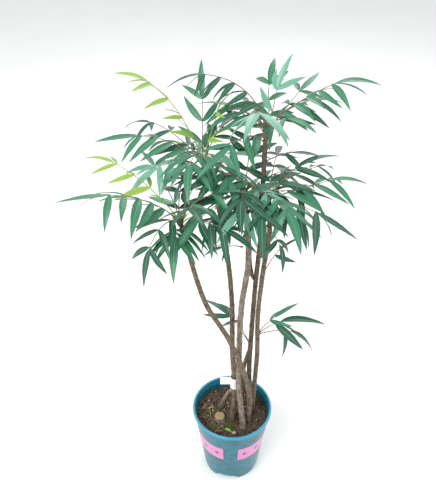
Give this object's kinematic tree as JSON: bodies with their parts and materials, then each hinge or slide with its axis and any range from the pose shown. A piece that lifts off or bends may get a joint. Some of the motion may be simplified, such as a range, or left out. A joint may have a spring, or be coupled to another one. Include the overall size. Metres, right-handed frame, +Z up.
{
  "type": "potted chinese mahonia",
  "caption": "Young mahonia shrub in a teal nursery pot: slender bare stems and arching pinnate foliage.",
  "frame": {"origin": "middle of the pot's flat underside", "axes": "+Z up through the pot, -Y the front as pictured, +X to the right of the front view"},
  "size_m": [0.5677, 0.3674, 1.0743],
  "materials": {
    "teal_plastic": "satin",
    "potting_soil": "matte",
    "bark": "rough",
    "pale_bark": "rough",
    "white_label": "satin",
    "foliage": "satin",
    "young_foliage": "satin"
  },
  "bodies": {
    "root": {"pot": "teal_plastic", "soil": "potting_soil", "cut_stump": "pale_bark", "stem_label": "white_label", "stem_left_lower": "bark", "stem_left_upper": "bark", "stem_upper_left": "bark", "stem_tall": "bark", "stem_tall_leg": "bark", "stem_tall_fork": "bark", "stem_right": "bark", "stem_centre": "pale_bark", "stem_short_leg": "pale_bark", "mass_left": "foliage", "mass_upper_left": "foliage", "mass_top": "foliage", "mass_centre": "foliage", "mass_right": "foliage", "frond_arch_top": "foliage", "frond_low_left": "foliage", "frond_low_front": "foliage", "frond_low_right": "foliage", "frond_tall_right": "foliage", "spray_right": "foliage", "spray_right_small": "foliage", "spray_left": "foliage", "spray_twig_right": "foliage", "spray_middle": "foliage", "frond_arch_left": "young_foliage"}
  },
  "joints": []
}
